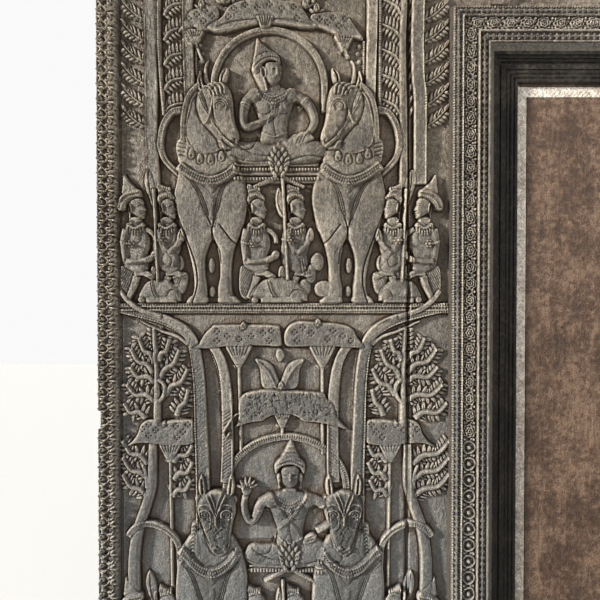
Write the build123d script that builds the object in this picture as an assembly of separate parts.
from build123d import *
import math
import os

# A carved timber doorway: a fixed side panel with two carved registers, an architrave of beads
# and rosettes round the opening, a moulded frame, and two plank leaves that turn inward on pins.
# Millimetres. +X to the right, -Y to the viewer, +Z up. The origin is on the floor under the
# middle of the opening, where the architrave's and the panel's recessed ground is y = 0.

os.makedirs("parts", exist_ok=True)

# Overall layout
opening_width = 900.0
opening_top = 1947.5
sill_height = 130.0
sill_front = -60.0
sill_depth = 200.0
panel_width = 880.0
panel_top = 2422.0
board_thickness = 38.0
timber_depth = 52.0

# Architrave round the opening
architrave_width = 92.5
architrave_front = -34.0
bead_radius = 9.0
bead_sink = 8.0
bead_inset = 15.5
inner_bead_radius = 8.0
inner_fillet_front = -32.0
rosette_inset = 46.5
rosette_band = 31.0
rosette_floor = -25.0
rosette_radius = 13.0
rosette_height = 8.0
rosette_pitch = 31.0
fillet_width = 4.0

# Moulded frame
frame_width = 82.5
splay_width = 15.5
splay_front = -28.0
splay_back = -15.0
step_width = 5.8
step_drop = 5.7
step_count = 3
flat_width = 12.2
flat_front = -1.0
reed_count = 3
reed_height = 3.5
reed_base = 3.0
lip_back = 12.0
lip_cover = 15.0

# Leaves
leaf_thickness = 45.0
leaf_gap = 1.5
meeting_gap = 3.0
lip_clearance = 5.0
top_clearance = 4.0
bottom_clearance = 4.0
threshold_drop = 18.0
plank_count = 3
margin_width = 30.0
margin_inset = 14.0
margin_height = 3.0
ledge_height = 90.0
ledge_thickness = 35.0
ledge_start = 88.0
ledge_end = 30.0
ledge_count = 3
ledge_margin = 210.0

# Pivot pins and the iron plates that they turn in
pin_radius = 14.0
pin_running_gap = 0.05
pin_in_leaf = 60.0
pin_out_low = 29.5
pin_out_high = 30.0
socket_spare = 0.5
plate_width = 46.0
plate_height = 12.0

# Sliding bolt
bolt_width = 45.0
bolt_thickness = 22.0
bolt_length = 370.0
bolt_knob_offset = -60.0
bolt_height = 1180.0
bolt_rest_gap = 12.0
bolt_clearance = 0.6
bolt_knob_radius = 9.0
bolt_knob_length = 26.0
staple_width = 40.0
staple_wall = 12.0
staple_spacing = 190.0
keeper_offset = 60.0

# Carved side panel
stile_width = 52.0
stile_front = -14.0
lozenge_pitch = 36.5
lozenge_width = 34.0
lozenge_length = 30.0
lozenge_height = 7.0
base_board_height = 227.0
base_board_front = -18.0
plank_joint = 777.0
plank_joint_gap = 2.0
chip_height = 45.0
chip_depth = 9.0
chip_middle = 1098.0
lower_ground = 380.0
register_pitch = 1012.0
seat_depth = 5.0
carving_taper = 9.0
register_band = 20.0
register_band_height = 9.0

# The registers are drawn on a grid of this size and scaled to the panel.
drawn_width = 880.0
drawn_pitch = 1012.0
mirror_axis = 456.5

# Timbers behind the boards
end_post_width = 100.0
batten_height = 110.0
batten_count = 3
batten_margin = 110.0
peg_width = 14.0
peg_proud = 2.0
peg_spacing = 60.0
top_plate_height = 60.0

# Crest over the head
crest_front = -22.0
crest_height = 232.0
crest_slope = 40.6
crest_rail = 26.0
crest_rail_height = 9.0
petal_count = 12
petal_height = 84.0
petal_relief = 8.0
cap_height = 28.0
cap_overhang = 12.0

# Places worked out from the sizes above
half_opening = opening_width / 2
frame_edge = half_opening + frame_width
stop_start = splay_width + (step_count + 1) * step_width + flat_width
architrave_edge = frame_edge + architrave_width
panel_right = -architrave_edge
panel_left = panel_right - panel_width
frame_top = opening_top + frame_width
architrave_top = frame_top + architrave_width
timber_back = board_thickness + timber_depth
field_bottom = sill_height + base_board_height
leaf_front = lip_back + lip_clearance
leaf_back = leaf_front + leaf_thickness
leaf_outer = half_opening + lip_cover - leaf_gap
leaf_inner = meeting_gap / 2
pivot_x = leaf_outer - leaf_thickness / 2
pivot_y = leaf_front + leaf_thickness / 2
threshold_back = sill_height - threshold_drop
leaf_bottom = threshold_back + bottom_clearance
leaf_top = opening_top + lip_cover - top_clearance
bolt_y = leaf_back + staple_wall / 2 + bolt_clearance + bolt_thickness / 2


def block(x_range, y_range, z_range):
    """A plain timber between three pairs of limits."""
    lows, highs = zip(x_range, y_range, z_range)
    sizes = [high - low for low, high in zip(lows, highs)]
    return Pos(*lows) * Box(*sizes, align=(Align.MIN, Align.MIN, Align.MIN))


def save(shape, name):
    """Write one node."""
    shape.label = name
    export_step(shape, f"parts/{name}.step")


def flip(shape):
    """The same piece on the other side of the opening."""
    return mirror(shape, about=Plane.YZ)


# Outlines of the carving


def flow(points, steps, closed=True):
    """Points along a smooth curve through the given ones."""
    count = len(points)
    spans = count if closed else count - 1
    curve = []
    for index in range(spans):
        picks = [index - 1, index, index + 1, index + 2]
        if closed:
            a, b, c, d = (points[pick % count] for pick in picks)
        else:
            a, b, c, d = (points[min(max(pick, 0), count - 1)] for pick in picks)
        for step in range(steps):
            t = step / steps
            curve.append(tuple(
                b[k] + 0.5 * (c[k] - a[k]) * t
                + (a[k] - 2.5 * b[k] + 2 * c[k] - 0.5 * d[k]) * t ** 2
                + 0.5 * (3 * b[k] - a[k] - 3 * c[k] + d[k]) * t ** 3
                for k in (0, 1)
            ))
    if not closed:
        curve.append(tuple(points[-1]))
    return curve


def strip(points, width, end_width=None, steps=1):
    """The outline of a band of one width, or tapering to another, along a line of points."""
    line = flow(points, steps, closed=False)
    end_width = width if end_width is None else end_width
    left, right = [], []
    for index, (a, h) in enumerate(line):
        before = line[max(index - 1, 0)]
        after = line[min(index + 1, len(line) - 1)]
        run, rise = after[0] - before[0], after[1] - before[1]
        length = math.hypot(run, rise)
        half = (width + (end_width - width) * index / (len(line) - 1)) / 2
        left.append((a - rise / length * half, h + run / length * half))
        right.append((a + rise / length * half, h - run / length * half))
    return left + right[::-1]


def oval(centre, radii, corners=8, turn=0.0):
    """An oval outline."""
    outline = []
    for index in range(corners):
        angle = 2 * math.pi * index / corners
        across, along = radii[0] * math.cos(angle), radii[1] * math.sin(angle)
        cosine, sine = math.cos(math.radians(turn)), math.sin(math.radians(turn))
        outline.append((
            centre[0] + across * cosine - along * sine,
            centre[1] + across * sine + along * cosine,
        ))
    return outline


def mirrored(shapes):
    """The same shapes on the other side of the register."""
    return [([(2 * mirror_axis - a, h) for a, h in outline], height) for outline, height in shapes]


def shifted(shapes, across, up=0.0):
    """The same shapes moved over the register."""
    return [([(a + across, h + up) for a, h in outline], height) for outline, height in shapes]


def horse():
    """The left horse, seen from the front, its head turned to the middle."""
    body = [
        (222, 0), (236, 20), (240, 48), (235, 95), (222, 150), (203, 205), (192, 265), (201, 322),
        (206, 360), (212, 405), (213, 465), (224, 522), (252, 546), (300, 546), (328, 524),
        (336, 486), (341, 448), (352, 416), (350, 376), (368, 335), (376, 280), (374, 235),
        (362, 186), (343, 138), (335, 88), (337, 28), (353, 0), (309, 0), (301, 32), (306, 72),
        (303, 120), (290, 156), (271, 120), (270, 76), (275, 32), (268, 0),
    ]
    hind_leg = [(278, 0), (280, 45), (277, 95), (282, 150), (296, 150), (298, 95), (292, 45), (296, 0)]
    neck = [
        (224, 398), (221, 436), (228, 484), (250, 520), (286, 528), (318, 512), (327, 470),
        (334, 436), (340, 408), (318, 380), (286, 371), (246, 378),
    ]
    muzzle = [(226, 404), (223, 432), (230, 474), (250, 500), (258, 466), (274, 440), (302, 410), (262, 380)]
    return [
        (body, 16), (hind_leg, 8), (neck, 19), (muzzle, 21),
        (strip([(210, 326), (258, 284), (287, 190)], 11), 19),
        (strip([(343, 318), (312, 276), (289, 200)], 11), 19),
        (strip([(211, 344), (256, 304), (290, 288), (322, 318), (344, 346)], 13), 18),
        ([(236, 540), (231, 564), (246, 586), (257, 562), (252, 540)], 13),
        ([(308, 540), (306, 562), (323, 584), (332, 562), (322, 538)], 13),
        (strip([(214, 481), (182, 470), (165, 440), (162, 400), (174, 358), (206, 325)], 18), 11),
    ]


def attendant():
    """A kneeling attendant in a crown, facing the middle."""
    torso = [(78, 200), (63, 178), (62, 120), (70, 84), (121, 84), (121, 180), (106, 204)]
    skirt = [(66, 100), (58, 60), (70, 22), (112, 24), (126, 64), (120, 100)]
    head = [(76, 248), (82, 212), (98, 203), (113, 214), (116, 244), (100, 264)]
    crown = [(62, 262), (104, 258), (98, 286), (64, 316)]
    forearm = strip([(66, 104), (100, 100), (146, 112)], 16, 12)
    return [(torso, 12), (head, 14), (crown, 11), (skirt, 14), (forearm, 17)]


def mound(centre, width, height):
    """A rounded crouching beast, kept as a low mound."""
    half = width / 2
    outline = [
        (centre - half, 4), (centre - half * 0.92, height * 0.55), (centre - half * 0.5, height * 0.95),
        (centre, height), (centre + half * 0.6, height * 0.86), (centre + half * 0.95, height * 0.42),
        (centre + half, 4),
    ]
    return [(outline, 13), ([(centre - half, 0), (centre - half, 8), (centre + half, 8), (centre + half, 0)], 15)]


def lower_storey():
    """What stands on the ground line of a register: horses, attendants, mounds and poles."""
    left = horse() + attendant() + shifted(attendant(), 76, 0) + mound(155, 104, 56)
    left += [(strip([(143, 282), (148, 130), (150, 60)], 7), 9)]
    left += [(strip([(120, 430), (119, 340), (122, 290), (140, 225)], 12), 7)]
    middle = shifted(attendant(), 304, 0) + shifted(attendant(), 404, 0) + mound(453, 130, 60)
    middle += [(strip([(464, 312), (469, 210), (475, 60)], 8), 9), (oval((560, 34), (26, 22)), 12)]
    return left + mirrored(left) + middle


def seated_figure(axis, turned):
    """The seated figure under the arch: throne, crossed legs, arms, body and crowned head."""
    legs = [
        (-112, 392), (-84, 408), (-40, 418), (0, 402), (42, 420), (84, 412), (118, 392), (116, 360),
        (70, 350), (0, 344), (-70, 350), (-108, 362),
    ]
    torso = [(-44, 534), (-24, 542), (24, 542), (46, 530), (40, 486), (30, 450), (34, 404), (-30, 404), (-26, 450), (-40, 486)]
    throne = [(-104, 368), (-84, 334), (-66, 302), (66, 302), (84, 334), (104, 368)]
    head = [(-26, 592), (-26, 570), (-14, 550), (0, 544), (14, 550), (26, 570), (26, 592), (0, 606)]
    crown = [(-36, 588), (-38, 602), (-22, 622), (-8, 640), (0, 664), (8, 640), (22, 622), (38, 602), (36, 588), (0, 604)]
    sash = [(-18, 412), (-24, 380), (-12, 344), (12, 344), (24, 380), (18, 412), (0, 428)]
    near_arm = [(-44, 526), (-66, 500), (-76, 458), (-90, 440)]
    raised_arm = [(-96, 448), (-106, 480), (-104, 520), (-92, 548)]
    if turned:
        near_arm = [(-56, 506), (-76, 478), (-78, 446), (-56, 440)]
        raised_arm = [(-74, 440), (-44, 446), (-8, 454), (12, 480)]
    far_arm = [(44, 524), (76, 506), (96, 474), (84, 446), (60, 416)]
    shapes = [
        (throne, 10), (legs, 15), (torso, 13), (strip(near_arm, 24, 18), 14), (strip(raised_arm, 17), 16),
        (strip(far_arm, 24, 16), 15), (sash, 18), (crown, 13), (head, 17),
    ]
    return shifted(shapes, axis)


def arch(axis, half_width, foot, top, width, height):
    """The round arch over the seated figure."""
    line = []
    for index in range(13):
        angle = math.pi * index / 12
        line.append((axis - half_width * math.cos(angle), foot + (top - foot) * math.sin(angle)))
    return [(strip(line, width), height)]


def canopy(centre, base, width, height, relief=11):
    """A cloud-like tree crown with a straight base and a stub below it."""
    half = width / 2
    outline = [
        (centre - half, base), (centre - half * 0.93, base + height * 0.5), (centre - half * 0.68, base + height * 0.9),
        (centre - half * 0.1, base + height), (centre + half * 0.55, base + height * 0.94),
        (centre + half * 0.86, base + height * 0.6), (centre + half, base), (centre + half * 0.3, base - height * 0.05),
        (centre + half * 0.12, base - height * 0.7), (centre - half * 0.08, base - height * 0.7),
        (centre - half * 0.26, base - height * 0.05),
    ]
    return [(outline, relief)]


def branch(points):
    """A branch, broad enough to stand for the leaflets along it."""
    return [(strip(points, 11, 7), 8)]


def tree():
    """The tree at the left of a register, above its canopy."""
    shapes = [(strip([(146, 450), (146, 640), (147, 800), (140, 870), (124, 930)], 20, 8), 10)]
    limbs = [
        [(140, 862), (118, 892), (100, 920)], [(152, 868), (172, 888), (180, 914)],
        [(136, 842), (110, 864), (84, 898)], [(150, 822), (196, 862), (204, 892)],
        [(140, 816), (98, 832), (84, 866)], [(168, 782), (208, 806), (224, 838)],
        [(140, 762), (94, 786), (72, 826)], [(190, 738), (220, 758), (226, 790)],
        [(124, 722), (78, 734), (60, 764)],
    ]
    for limb in limbs:
        shapes += branch(limb)
    return shapes


def flanking_trunks():
    """The flat trunks that rise between tree and figure and turn out under the band above."""
    outer = [(262, 560), (256, 700), (252, 800), (248, 870), (236, 928), (204, 962), (160, 980), (104, 994)]
    inner = [(322, 590), (323, 700), (321, 800), (311, 860), (286, 900)]
    return [(strip(outer, 34, 24), 10), (strip(inner, 28, 22), 10)]


def upper_storey():
    """Trees, trunks and canopies above the seated figure, the same in both registers."""
    side = tree() + flanking_trunks() + canopy(150, 664, 164, 52, 12)
    middle = canopy(350, 906, 190, 52) + canopy(562, 906, 188, 56) + canopy(465, 716, 290, 66, 12)
    middle += [(strip([(355, 880), (360, 780)], 8), 9), (strip([(560, 880), (566, 700)], 8), 9)]
    return side + mirrored(side) + middle


def photographed_upper_storey():
    """The upper register's own trunks, foliage and canopy, seen below the panel's top."""
    side = [
        (strip([(133, 990), (134, 760), (136, 600), (141, 480), (143, 300)], 32, 22), 10),
        (strip([(229, 960), (229, 760), (230, 520)], 28), 10),
    ]
    for height in (470, 556, 642, 728, 814, 900):
        side += branch([(118, height - 24), (90, height), (66, height + 36)])
        side += branch([(162, height - 30), (186, height + 4), (212, height + 24)])
    crowns = canopy(432, 700, 230, 54, 12) + canopy(590, 676, 130, 44, 12) + canopy(252, 686, 90, 46, 11)
    crowns += canopy(350, 906, 190, 52) + canopy(562, 906, 188, 56) + canopy(456, 806, 200, 50, 12)
    crowns += [(strip([(355, 880), (360, 760)], 8), 9), (strip([(560, 880), (566, 740)], 8), 9)]
    return side + mirrored(side) + crowns


def lower_register():
    """The lower register: the figure faces forward under a wide arch."""
    shapes = lower_storey() + upper_storey()
    shapes += arch(472, 152, 545, 676, 16, 11) + seated_figure(478, False)
    return shapes


def upper_register():
    """The upper register: the figure looks to one side under a narrower arch."""
    shapes = lower_storey() + photographed_upper_storey()
    shapes += arch(430, 138, 545, 680, 14, 11) + seated_figure(438, True)
    return shapes


# Carved panel


def relief(shapes, ground):
    """Solids of a register's shapes, standing out from the boards above their ground line."""
    across, up = panel_width / drawn_width, register_pitch / drawn_pitch
    solids = []
    for outline, height in shapes:
        placed = [(panel_left + a * across, ground + h * up) for a, h in outline]
        turns = zip(placed, placed[1:] + placed[:1])
        if sum(start[0] * end[1] - end[0] * start[1] for start, end in turns) < 0:
            placed.reverse()
        face = Plane.XZ.offset(-seat_depth) * make_face(Polyline(*placed, close=True))
        solids.append(extrude(face, seat_depth + height, taper=carving_taper))
    return solids


def carved_boards():
    """The wide and the narrow board, cut from one carved field at the plank joint."""
    across = panel_width / drawn_width
    joint = panel_left + plank_joint * across
    field_left = panel_left + stile_width
    field = block((field_left, panel_right), (0, board_thickness), (field_bottom, panel_top))
    carved = field
    for ground, shapes in (
        (lower_ground, lower_register()),
        (lower_ground + register_pitch, upper_register()),
    ):
        band = block(
            (field_left, panel_right),
            (-register_band_height, seat_depth),
            (max(ground - register_band, field_bottom), ground),
        )
        carved = carved.fuse(band, *relief(shapes, ground))
    reach = (-2 * board_thickness, 2 * board_thickness)
    wide = carved & block((field_left, joint - plank_joint_gap / 2), reach, (field_bottom, panel_top))
    narrow = carved & block((joint + plank_joint_gap / 2, panel_right), reach, (field_bottom, panel_top))
    return wide, narrow


def studs(centres, half_width, half_length, height, floor):
    """A row of pointed lozenge studs on a band."""
    solids = []
    for x, z in centres:
        points = [(x + half_width, z), (x, z + half_length), (x - half_width, z), (x, z - half_length)]
        foot = Plane.XZ.offset(-floor) * make_face(Polyline(*points, close=True))
        solids.append(loft([foot, Vertex(x, floor - height, z)]))
    return solids


def edge_stile():
    """The free edge of the panel, with an interlace of lozenges and one chip."""
    board = block(
        (panel_left, panel_left + stile_width), (stile_front, board_thickness), (field_bottom, panel_top)
    )
    length = panel_top - field_bottom
    count = int(length // lozenge_pitch)
    first = field_bottom + (length - (count - 1) * lozenge_pitch) / 2
    centres = [(panel_left + stile_width / 2, first + index * lozenge_pitch) for index in range(count)]
    board = board.fuse(*studs(centres, lozenge_width / 2, lozenge_length / 2, lozenge_height, stile_front))
    chip = block(
        (panel_left - 1, panel_left + chip_depth),
        (2 * stile_front, 2 * board_thickness),
        (chip_middle - chip_height / 2, chip_middle + chip_height / 2),
    )
    return board - chip


# Architrave and frame


def section(stations, place):
    """A closed section: a line to each plain point, an arc over each pair of crest and end."""
    edges, last = [], stations[0]
    for station in stations[1:] + stations[:1]:
        if isinstance(station[0], tuple):
            crest, end = station
            edges.append(ThreePointArc(*(place(*point) for point in (last, crest, end))))
            last = end
        else:
            edges.append(Line(place(*last), place(*station)))
            last = station
    return make_face(edges)


def mitre_cut(shape, keep_upright):
    """Cut an upright or a head at 45 degrees through the left corner of the opening."""
    reach = panel_top
    corner = (-half_opening, opening_top)
    out, up, down = corner[0] - reach, corner[1] + reach, corner[1] - reach
    if keep_upright:
        waste = [corner, (out, up), (corner[0] + reach, up), (corner[0] + reach, corner[1])]
    else:
        waste = [corner, (out, up), (out, down), (corner[0], down)]
    face = Plane.XZ.offset(reach) * make_face(Polyline(*waste, close=True))
    return shape - extrude(face, -2 * reach)


def architrave_stations():
    """The architrave's section, as distances in from its outer edge and depths."""
    band_start = rosette_inset - rosette_band / 2
    band_end = rosette_inset + rosette_band / 2
    first_end, second_start = band_start - fillet_width, band_end + fillet_width
    inner_start = architrave_width - fillet_width
    floor = architrave_front + bead_sink

    def bead(middle, radius):
        return [(middle - radius, floor), ((middle, floor - radius), (middle + radius, floor))]

    return [
        (0, board_thickness), (0, architrave_front), (fillet_width, architrave_front), (fillet_width, floor),
        *bead(bead_inset, bead_radius),
        (first_end, floor), (first_end, architrave_front), (band_start, architrave_front),
        (band_start, rosette_floor), (band_end, rosette_floor), (band_end, architrave_front),
        (second_start, architrave_front), (second_start, floor),
        *bead((second_start + inner_start) / 2, inner_bead_radius),
        (inner_start, floor), (inner_start, inner_fillet_front), (architrave_width, inner_fillet_front),
        (architrave_width, board_thickness),
    ]


def frame_stations():
    """The frame's section: splay, steps, flat, a seat for the stop, and the leaf's rebate."""
    stations = [(0, timber_back), (0, splay_front), (splay_width, splay_back)]
    inset, depth = splay_width, splay_back
    for _ in range(step_count):
        inset += step_width
        stations.append((inset, depth))
        depth += step_drop
        stations.append((inset, depth))
    inset += step_width
    return stations + [
        (inset, depth), (inset, flat_front), (stop_start, flat_front), (stop_start, lip_back),
        (frame_width - lip_cover, lip_back), (frame_width - lip_cover, timber_back),
    ]


def stop_stations():
    """The stop's section: a flat strip with reeds on its face, planted on the frame."""
    stations = [(stop_start, lip_back), (stop_start, reed_base)]
    reed_width = (frame_width - stop_start) / reed_count
    for index in range(reed_count):
        middle = stop_start + (index + 0.5) * reed_width
        stations.append(((middle, reed_base - reed_height), (middle + reed_width / 2, reed_base)))
    return stations + [(frame_width, lip_back)]


def upright(stations, outer_edge):
    """The left upright of a moulding, from the sill to its mitre."""
    top = opening_top + outer_edge - half_opening
    profile = section(stations, lambda inset, depth: (inset - outer_edge, depth, sill_height))
    return mitre_cut(extrude(profile, top - sill_height), True)


def head(stations, outer_edge):
    """The head of a moulding, mitred at both ends."""
    top = opening_top + outer_edge - half_opening
    profile = section(stations, lambda inset, depth: (-outer_edge, depth, top - inset))
    solid = mitre_cut(extrude(profile, 2 * outer_edge, dir=(1, 0, 0)), False)
    return flip(mitre_cut(flip(solid), False))


def rosette_centres(start, end):
    """Even places for rosettes along a run."""
    count = max(int((end - start) // rosette_pitch), 1)
    first = (start + end - (count - 1) * rosette_pitch) / 2
    return [first + index * rosette_pitch for index in range(count)]


def architraves():
    """Left, right and head architraves, with their rosettes."""
    row = rosette_inset
    column = -architrave_edge + row
    high = architrave_top - row
    left = upright(architrave_stations(), architrave_edge)
    places = [(column, z) for z in rosette_centres(sill_height + rosette_pitch / 2, high - rosette_pitch)]
    left = left.fuse(*studs(places, rosette_radius, rosette_radius, rosette_height, rosette_floor))
    over = head(architrave_stations(), architrave_edge)
    places = [(x, high) for x in rosette_centres(column + rosette_pitch, -column - rosette_pitch)]
    over = over.fuse(*studs(places, rosette_radius, rosette_radius, rosette_height, rosette_floor))
    return left, over


def sill():
    """The sill: it runs under the whole doorway, with a step and sockets behind the lip."""
    solid = block((panel_left, architrave_edge), (sill_front, sill_front + sill_depth), (0, sill_height))
    rebate = half_opening + lip_cover
    solid -= block(
        (-rebate, rebate), (lip_back, sill_front + sill_depth + 1), (threshold_back, sill_height + 1)
    )
    for side in (-1, 1):
        place = Pos(side * pivot_x, pivot_y, threshold_back)
        solid -= place * Box(plate_width, plate_width, 2 * plate_height)
        depth = pin_out_low - bottom_clearance + socket_spare
        solid -= place * Cylinder(pin_radius + pin_running_gap, 2 * depth)
    return solid


def door_head():
    """The frame's head, with the sockets of the upper pins."""
    solid = head(frame_stations(), frame_edge)
    ceiling = opening_top + lip_cover
    for side in (-1, 1):
        place = Pos(side * pivot_x, pivot_y, ceiling)
        solid -= place * Box(plate_width, plate_width, 2 * plate_height)
        depth = pin_out_high - top_clearance + 6 * socket_spare
        solid -= place * Cylinder(pin_radius + pin_running_gap, 2 * depth)
    return solid


def pivot_plate(side, face, inward):
    """A square iron plate with the pin's hole, flush with the timber that it is let into."""
    plate = Box(plate_width, plate_width, plate_height)
    plate -= Cylinder(pin_radius + pin_running_gap, 2 * plate_height)
    return Pos(side * pivot_x, pivot_y, face + inward * plate_height / 2) * plate


# Leaves


def left_planks():
    """The left leaf's planks, the first rounded on its hanging edge to turn in the frame."""
    width = (leaf_outer - leaf_inner) / plank_count
    radius = leaf_thickness / 2
    planks = []
    for index in range(plank_count):
        start = -leaf_outer + index * width
        end = start + width
        if index == 0:
            stations = [
                (end, leaf_front), (-pivot_x, leaf_front),
                ((-pivot_x - radius, pivot_y), (-pivot_x, leaf_back)), (end, leaf_back),
            ]
            profile = section(stations, lambda x, y: (x, y, leaf_bottom))
            plank = extrude(profile, leaf_top - leaf_bottom)
            for face_z in (leaf_bottom, leaf_top):
                plank -= Pos(-pivot_x, pivot_y, face_z) * Cylinder(pin_radius, 2 * pin_in_leaf)
        else:
            plank = block((start, end), (leaf_front, leaf_back), (leaf_bottom, leaf_top))
        planks.append(plank)
    return planks


def left_margin():
    """The raised strip round the left leaf's face, mitred at its corners by construction."""
    x_range = (-leaf_outer + margin_inset, -leaf_inner - margin_inset)
    z_range = (leaf_bottom + margin_inset, leaf_top - margin_inset)
    y_range = (leaf_front - margin_height, leaf_front)
    outer = block(x_range, y_range, z_range)
    inner = block(
        (x_range[0] + margin_width, x_range[1] - margin_width),
        (y_range[0] - 1, y_range[1] + 1),
        (z_range[0] + margin_width, z_range[1] - margin_width),
    )
    return outer - inner


def ledge_heights():
    """The lower edges of the ledges."""
    low, high = leaf_bottom + ledge_margin, leaf_top - ledge_margin - ledge_height
    return [low + (high - low) * index / (ledge_count - 1) for index in range(ledge_count)]


def left_ledge(low):
    """A ledge across the back of the left leaf, its edges chamfered."""
    ledge = block(
        (-leaf_outer + ledge_start, -leaf_inner - ledge_end), (leaf_back, leaf_back + ledge_thickness),
        (low, low + ledge_height),
    )
    return chamfer(ledge.faces().sort_by(Axis.Y)[-1].edges(), 6)


def left_pin(high):
    """A turned pin, held in the hanging edge and standing out into its socket."""
    start, end = (leaf_bottom - pin_out_low, leaf_bottom + pin_in_leaf)
    if high:
        start, end = (leaf_top - pin_in_leaf, leaf_top + pin_out_high)
    return Pos(-pivot_x, pivot_y, (start + end) / 2) * Cylinder(pin_radius, end - start)


def bolt_bar():
    """The sliding bolt with its knob, drawn back from the meeting line."""
    end = -leaf_inner - bolt_rest_gap
    bar = block(
        (end - bolt_length, end), (bolt_y - bolt_thickness / 2, bolt_y + bolt_thickness / 2),
        (bolt_height - bolt_width / 2, bolt_height + bolt_width / 2),
    )
    knob_x = end - bolt_length / 2 + bolt_knob_offset
    knob_y = bolt_y + (bolt_thickness + bolt_knob_length) / 2
    return bar + Pos(knob_x, knob_y, bolt_height) * Rot(90, 0, 0) * Cylinder(bolt_knob_radius, bolt_knob_length)


def staple(middle):
    """A wooden bridge over the bolt, fixed to the back of a leaf."""
    room_z = bolt_width / 2 + bolt_clearance
    room_y = (bolt_y - bolt_thickness / 2 - bolt_clearance, bolt_y + bolt_thickness / 2 + bolt_clearance)
    x_range = (middle - staple_width / 2, middle + staple_width / 2)
    outer_z = room_z + staple_wall
    outer = block(x_range, (leaf_back, room_y[1] + staple_wall), (bolt_height - outer_z, bolt_height + outer_z))
    slot = block(
        (x_range[0] - 1, x_range[1] + 1), room_y, (bolt_height - room_z, bolt_height + room_z)
    )
    return outer - slot


# Crest and timbers behind


def crest():
    """The crest: raking edges, a level top and a row of upright petals."""
    foot = architrave_top
    rise = crest_height / math.tan(math.radians(crest_slope))
    body = [(-frame_edge, foot), (frame_edge, foot), (frame_edge - rise, foot + crest_height), (rise - frame_edge, foot + crest_height)]
    solid = extrude(Plane.XZ * make_face(Polyline(*body, close=True)), -crest_front)
    slope = math.radians(crest_slope)
    normal = (math.sin(slope) * crest_rail, -math.cos(slope) * crest_rail)
    rail = [
        body[0], body[3], (body[3][0] + normal[0], body[3][1] + normal[1]),
        (body[0][0] + crest_rail / math.sin(slope), foot),
    ]
    rails = [extrude(
        Plane.XZ.offset(-crest_front - 1) * make_face(Polyline(*rail, close=True)), crest_rail_height + 1
    )]
    rails.append(flip(rails[0]))
    level = block(
        (body[3][0], body[2][0]), (crest_front - crest_rail_height, crest_front + 1),
        (foot + crest_height - crest_rail, foot + crest_height),
    )
    petal_width = 2 * (frame_edge - rise) / petal_count
    petals = []
    for index in range(petal_count):
        middle = -frame_edge + rise + (index + 0.5) * petal_width
        outline = [
            (middle - petal_width * 0.42, foot), (middle - petal_width * 0.46, foot + petal_height * 0.5),
            (middle, foot + petal_height), (middle + petal_width * 0.46, foot + petal_height * 0.5),
            (middle + petal_width * 0.42, foot),
        ]
        face = Plane.XZ.offset(-crest_front - 1) * make_face(Polyline(*outline[::-1], close=True))
        petals.append(extrude(face, petal_relief + 1, dir=(0, -1, 0)))
    return solid.fuse(*rails, level, *petals)


def batten_bottoms():
    """The lower edges of the battens behind the panel."""
    low = field_bottom + batten_margin
    high = panel_top - top_plate_height - batten_margin - batten_height
    return [low + (high - low) * index / (batten_count - 1) for index in range(batten_count)]


def pegs():
    """Square pegs that hold each carved board to the battens, their ends standing out at the back."""
    across = panel_width / drawn_width
    joint = panel_left + plank_joint * across
    columns = [panel_left + end_post_width + peg_spacing, (panel_left + joint) / 2 + peg_spacing]
    columns += [joint - peg_spacing, (joint + panel_right) / 2]
    solids = []
    for low in batten_bottoms():
        for x in columns:
            place = Pos(x, timber_back + peg_proud / 2, low + batten_height / 2)
            solids.append(place * Box(peg_width, peg_proud, peg_width))
    return Compound(children=solids)


# Write the nodes: the fixed doorway

save(sill(), "sill")
save(block((panel_left, panel_right), (base_board_front, board_thickness), (sill_height, field_bottom)), "panel_base_board")
wide_board, narrow_board = carved_boards()
save(wide_board, "panel_wide_board")
save(narrow_board, "panel_narrow_board")
save(edge_stile(), "panel_edge_stile")

left_architrave, head_architrave = architraves()
save(left_architrave, "left_architrave")
save(flip(left_architrave), "right_architrave")
save(head_architrave, "head_architrave")

left_jamb = upright(frame_stations(), frame_edge)
save(left_jamb, "left_jamb")
save(flip(left_jamb), "right_jamb")
save(door_head(), "door_head")
left_stop = upright(stop_stations(), frame_edge)
save(left_stop, "left_stop")
save(flip(left_stop), "right_stop")
save(head(stop_stations(), frame_edge), "head_stop")

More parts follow.
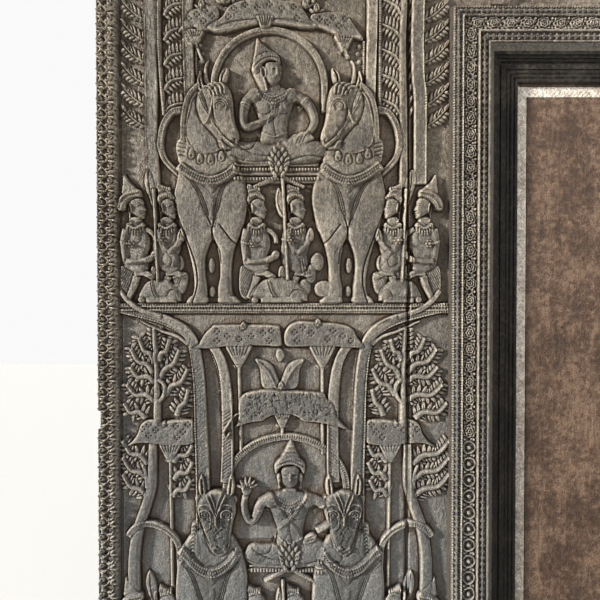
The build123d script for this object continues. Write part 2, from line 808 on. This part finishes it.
timbers = (board_thickness, timber_back)
left_post = block((-architrave_edge, -frame_edge), timbers, (sill_height, panel_top))
save(left_post, "left_post")
save(flip(left_post), "right_post")
save(block((-frame_edge, frame_edge), timbers, (frame_top, architrave_top)), "lintel")
save(block((panel_left, panel_left + end_post_width), timbers, (sill_height, panel_top)), "end_post")
plate_bottom = panel_top - top_plate_height
save(block((panel_left + end_post_width, -architrave_edge), timbers, (plate_bottom, panel_top)), "panel_top_plate")
save(block((-frame_edge, frame_edge), timbers, (plate_bottom, panel_top)), "overdoor_top_plate")
for place, low in zip(("low", "middle", "high"), batten_bottoms()):
    batten = block((panel_left + end_post_width, -architrave_edge), timbers, (low, low + batten_height))
    save(batten, f"batten_{place}")
save(pegs(), "batten_pegs")
save(block((-architrave_edge, architrave_edge), (0, board_thickness), (architrave_top, panel_top)), "overdoor_board")
save(crest(), "door_crest")
cap_range = (panel_left - cap_overhang, architrave_edge + cap_overhang)
cap_depth = (architrave_front, timber_back)
save(chamfer(block(cap_range, cap_depth, (panel_top, panel_top + cap_height)).edges(), 4), "top_cap")

# Write the nodes: the leaves

for name, turned in (("left", False), ("right", True)):
    for index, plank in enumerate(left_planks()):
        save(flip(plank) if turned else plank, f"{name}_leaf_plank_{index + 1}")
    margin = left_margin()
    save(flip(margin) if turned else margin, f"{name}_leaf_margin")
    for place, low in zip(("low", "middle", "high"), ledge_heights()):
        ledge = left_ledge(low)
        save(flip(ledge) if turned else ledge, f"{name}_leaf_ledge_{place}")
    for place, high in (("low", False), ("high", True)):
        pin = left_pin(high)
        save(flip(pin) if turned else pin, f"{name}_pivot_pin_{place}")
    side = 1 if turned else -1
    save(pivot_plate(side, threshold_back, -1), f"{name}_pivot_plate_low")
    save(pivot_plate(side, opening_top + lip_cover, 1), f"{name}_pivot_plate_high")

# Write the nodes: the bolt

save(bolt_bar(), "bolt_bar")
bar_middle = -leaf_inner - bolt_rest_gap - bolt_length / 2
for place, offset in (("inner", staple_spacing / 2), ("outer", -staple_spacing / 2)):
    save(staple(bar_middle + offset), f"bolt_staple_{place}")
save(staple(leaf_inner + keeper_offset), "bolt_keeper")
